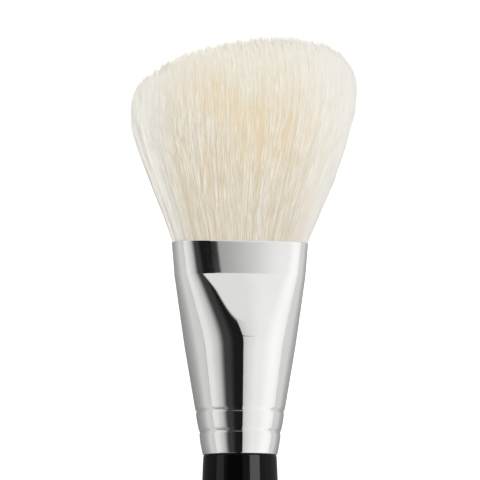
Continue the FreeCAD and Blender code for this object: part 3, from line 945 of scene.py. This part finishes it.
def goat_hair():
    """Undyed goat hair: each strand has its own tone from warm beige to cream. Strands grow more
    alike towards the tips, and paler there as painted light. Warm dashes run along the strands,
    most of all on the lower half, and the darker strands of the upper middle are warmer in soft
    clouds. Painted light makes the hair at both sides palest and the right half paler than the left."""
    material, tree, shader = start_material("natural_hair", Roughness=0.6, Specular_IOR_Level=0.1)
    place = object_place(tree)
    names = ("tone", "along", "rise", "side")
    tone, along, rise, side = (attribute_value(tree, name) for name in names)
    colour = ramp(tree, tone, [(stop, linear(*values)) for stop, values in STRAND_COLOURS])
    # Painted light: each strand turns paler towards its tip.
    tips = product(tree, rising(tree, along, 0.25, 0.9), 0.75)
    colour = mix_colours(tree, tips, colour, linear(*TIP_LIGHT_COLOUR))
    lanes, steps = product(tree, tone, DASH_LANES), product(tree, along, DASHES_ALONG)
    strand = add_node(tree, "ShaderNodeCombineXYZ", {"X": lanes, "Y": steps}).outputs["Vector"]
    dashes = rising(tree, noise(tree, strand, 1.0, 0.0), 0.42, 0.62)
    weight = calculate(tree, "MULTIPLY_ADD", falling(tree, rise, 12 * MM, 36 * MM), 0.5, 0.4)
    colour = mix_colours(tree, product(tree, dashes, weight), colour, linear(*DASH_COLOUR))
    cloud = rising(tree, noise(tree, place, 60.0, 1.0), 0.34, 0.62)
    cloud = product(tree, cloud, window(tree, rise, 8 * MM, 19 * MM, 25 * MM, 37 * MM))
    cloud = product(tree, cloud, falling(tree, side, 0.3, 0.8))
    cloud = product(tree, cloud, falling(tree, tone, 0.3, 0.75))
    colour = mix_colours(tree, product(tree, cloud, 0.85), colour, linear(*CLOUD_COLOUR))
    # Painted light: the hair turns paler towards both sides of the tuft.
    side_light = product(tree, rising(tree, side, 0.66, 1.0), 0.8)
    colour = mix_colours(tree, side_light, colour, linear(*SIDE_LIGHT_COLOUR))
    # Painted light: the right half of the hair turns paler.
    right = product(tree, rising(tree, split_across(tree, place), 3 * MM, 14 * MM), 0.45)
    colour = mix_colours(tree, right, colour, linear(*RIGHT_LIGHT_COLOUR))
    tree.links.new(colour, shader.inputs["Base Color"])
    return material


def core_hair():
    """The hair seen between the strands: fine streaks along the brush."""
    material, tree, shader = start_material("packed_hair", Roughness=0.7, Specular_IOR_Level=0.1)
    inputs = {"Vector": object_place(tree), "Scale": (1.0, 0.04, 1.0)}
    stretched = add_node(tree, "ShaderNodeMapping", inputs).outputs["Vector"]
    streaks = noise(tree, stretched, 3500.0, 2.0)
    tint = ramp(tree, streaks, [(0.35, linear(240, 230, 208)), (0.65, linear(250, 244, 230))])
    tree.links.new(tint, shader.inputs["Base Color"])
    roughen(tree, shader, streaks, 0.5, 0.2 * MM)
    return material


def amber_glue():
    """Set glue: a clear brownish amber with soft clouds."""
    material, tree, shader = start_material("set_glue", Roughness=0.25)
    cloud = noise(tree, object_place(tree), 400.0)
    tint = ramp(tree, cloud, [(0.3, linear(150, 104, 48)), (0.7, linear(178, 130, 68))])
    tree.links.new(tint, shader.inputs["Base Color"])
    return material


def cotton():
    """Unbleached cotton thread with a fine twist."""
    material, tree, shader = start_material("cotton_thread", Roughness=0.85)
    inputs = {"Vector": object_place(tree), "Scale": 900.0, "Distortion": 2.0}
    twist = add_node(tree, "ShaderNodeTexWave", inputs, bands_direction="DIAGONAL").outputs["Fac"]
    tint = ramp(tree, twist, [(0.2, linear(196, 184, 158)), (0.8, linear(232, 224, 204))])
    tree.links.new(tint, shader.inputs["Base Color"])
    roughen(tree, shader, twist, 0.4, 0.1 * MM)
    return material


def dress_node(name, material):
    """Gives a CAD node that stays its material."""
    mesh = frame["nodes"][name].data
    mesh.materials.clear()
    mesh.materials.append(material)


def white_floor():
    """A white light table. It glows softly, and the camera sees it brightened to white with its
    shadow kept. Mirrors see it in a painted grey without the glow, with painted shade darkest right under
    the brush."""
    material, tree, shader = start_material("white_table", Roughness=0.9, Specular_IOR_Level=0.1)
    place = object_place(tree)
    grain = noise(tree, place, 300.0)
    white = ramp(tree, grain, [(0.3, linear(218, 218, 218)), (0.7, linear(220, 220, 220))])
    path = add_node(tree, "ShaderNodeLightPath").outputs
    mirrored = calculate(tree, "MAXIMUM", path["Is Glossy Ray"], path["Is Transmission Ray"])
    # Painted shade: mirrors see the table darker near the brush, where its shade falls.
    aside = rising(tree, calculate(tree, "ABSOLUTE", split_across(tree, place)), *MIRRORED_SHADE_FADE)
    grey = mix_colours(tree, aside, linear(154, 154, 154), linear(212, 212, 212))
    tree.links.new(mix_colours(tree, mirrored, white, grey), shader.inputs["Base Color"])
    shader.inputs["Emission Color"].default_value = (1, 1, 1, 1)
    glow = calculate(tree, "MULTIPLY_ADD", mirrored, -TABLE_GLOW, TABLE_GLOW)
    lift = calculate(tree, "MULTIPLY_ADD", path["Is Camera Ray"], CAMERA_LIFT - TABLE_GLOW, glow)
    tree.links.new(lift, shader.inputs["Emission Strength"])
    corners = np.array([(-1, -1, 0), (1, -1, 0), (1, 1, 0), (-1, 1, 0)]) * TABLE_HALF
    floor = add_mesh("table", corners, np.array([[0, 1, 2, 3]]), material, smooth=False)


def light_room():
    """The studio as the light that falls in from each direction: an even light for matt surfaces
    and white behind the table. Polished surfaces see two wide diffusers, a dark stand beside
    the camera between them, with light above its top, and a veil over the right one a little
    above the camera's level. The left one grows dimmer downwards."""
    world = bpy.data.worlds.new("studio")
    bpy.context.scene.world = world
    world.use_nodes = True
    tree = world.node_tree
    direction = add_node(tree, "ShaderNodeTexCoord").outputs["Generated"]
    right, level, up = (dot(tree, direction, axis) for axis in (EYE_RIGHT, EYE_LEVEL, UP))
    around = calculate(tree, "DEGREES", calculate(tree, "ARCTAN2", right, level))
    height = calculate(tree, "DEGREES", calculate(tree, "ARCSINE", up))
    seen = STUDIO_LIGHT
    for start, end, change in STUDIO_STEPS:
        seen = calculate(tree, "MULTIPLY_ADD", rising(tree, around, start, end), change, seen)
    above = rising(tree, height, STAND_TOP - STAND_TOP_SOFT, STAND_TOP + STAND_TOP_SOFT)
    seen = calculate(tree, "MAXIMUM", seen, product(tree, above, STAND_TOP_LIGHT))
    veil = window(tree, height, *VEIL_HEIGHTS)
    seen = shade(tree, seen, VEIL_SHADE, veil, window(tree, around, *VEIL_AROUND))
    seen = shade(tree, seen, GAP_SHADE, veil, window(tree, around, *GAP_AROUND))
    seen = shade(tree, seen, LEFT_DIM_SHADE, falling(tree, height, *LEFT_DIM_HEIGHTS),
                 falling(tree, around, *LEFT_DIM_AROUND))
    path = add_node(tree, "ShaderNodeLightPath").outputs
    matt = (MATT_LIGHT, MATT_LIGHT, MATT_LIGHT, 1)
    light = mix_colours(tree, path["Is Glossy Ray"], matt, seen)
    light = mix_colours(tree, path["Is Camera Ray"], light, (1, 1, 1, 1))
    tree.links.new(light, tree.nodes["Background"].inputs["Color"])


def shade(tree, light, amount, first, second):
    """Takes an amount of the light away where two masks overlap."""
    cover = product(tree, product(tree, first, second), -amount)
    return calculate(tree, "MULTIPLY_ADD", light, cover, light)


def aim(piece, place, toward, up):
    """Puts a camera or lamp at a place with its back towards the way it came from."""
    back = Vector(toward).normalized()
    right = Vector(up).cross(back).normalized()
    turned = Matrix((right, back.cross(right), back)).transposed().to_4x4()
    piece.matrix_world = Matrix.Translation(Vector(place)) @ turned
    bpy.context.scene.collection.objects.link(piece)


def from_camera(around, height):
    """The direction that lies the given degrees round to the right and up from the camera's level."""
    around, height = math.radians(around), math.radians(height)
    level = math.cos(around) * EYE_LEVEL + math.sin(around) * EYE_RIGHT
    return math.cos(height) * level + math.sin(height) * UP


def add_lamp(name, around, above, width, height, power, *only):
    """A soft lamp in a direction from the brush that casts no shadow. Mirrors don't show it,
    unless it lights only the pieces named."""
    lamp = bpy.data.lights.new(name, "AREA")
    lamp.shape = "RECTANGLE"
    lamp.size = width
    lamp.size_y = height
    lamp.energy = power
    lamp.use_shadow = False
    piece = bpy.data.objects.new(name, lamp)
    toward = from_camera(around, above)
    aim(piece, FOOT + UP * AIM_HEIGHT + toward * LAMP_DISTANCE, toward, UP)
    piece.visible_glossy = bool(only)
    if only:
        lit = bpy.data.collections.new(name)
        for other in only:
            lit.objects.link(other)
        piece.light_linking.receiver_collection = lit


def add_camera():
    """The photograph's camera, aimed at AIM_HEIGHT on the axis and as wide as PICTURE_WIDTH there."""
    camera = bpy.data.cameras.new("photograph")
    camera.sensor_width = SENSOR
    camera.lens = SENSOR * CAMERA_DISTANCE / PICTURE_WIDTH
    piece = bpy.data.objects.new("photograph", camera)
    aim(piece, FOOT + UP * AIM_HEIGHT + TO_CAMERA * CAMERA_DISTANCE, TO_CAMERA, UP)
    bpy.context.scene.camera = piece


def finish_piece(piece, slot, *nodes):
    """Ties a piece to the part: it moves with it and stands for the CAD nodes named.
    The slot is not used."""
    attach(piece, "root")
    if nodes:
        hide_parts(*nodes)


finish_piece(make_ferrule(polished_metal()), "polished_metal", "ferrule")
handle = make_handle(black_lacquer())
finish_piece(handle, "black_lacquer", "handle")
finish_piece(make_core(core_hair()), "natural_hair", "hair_tuft")
strand_material = goat_hair()
for quarter, name in enumerate(("hair_right", "hair_back", "hair_left", "hair_front")):
    finish_piece(make_lock_piece(name, quarter, strand_material), "natural_hair")
dress_node("glue_plug", amber_glue())
dress_node("binding_thread", cotton())

white_floor()
light_room()
add_lamp("left_softbox", *LEFT_SOFTBOX)
add_lamp("right_softbox", *RIGHT_SOFTBOX)
add_lamp("left_strip", *LEFT_STRIP, handle)
add_lamp("right_strip", *RIGHT_STRIP, handle)
add_camera()
bpy.context.scene.view_settings.view_transform = "Standard"
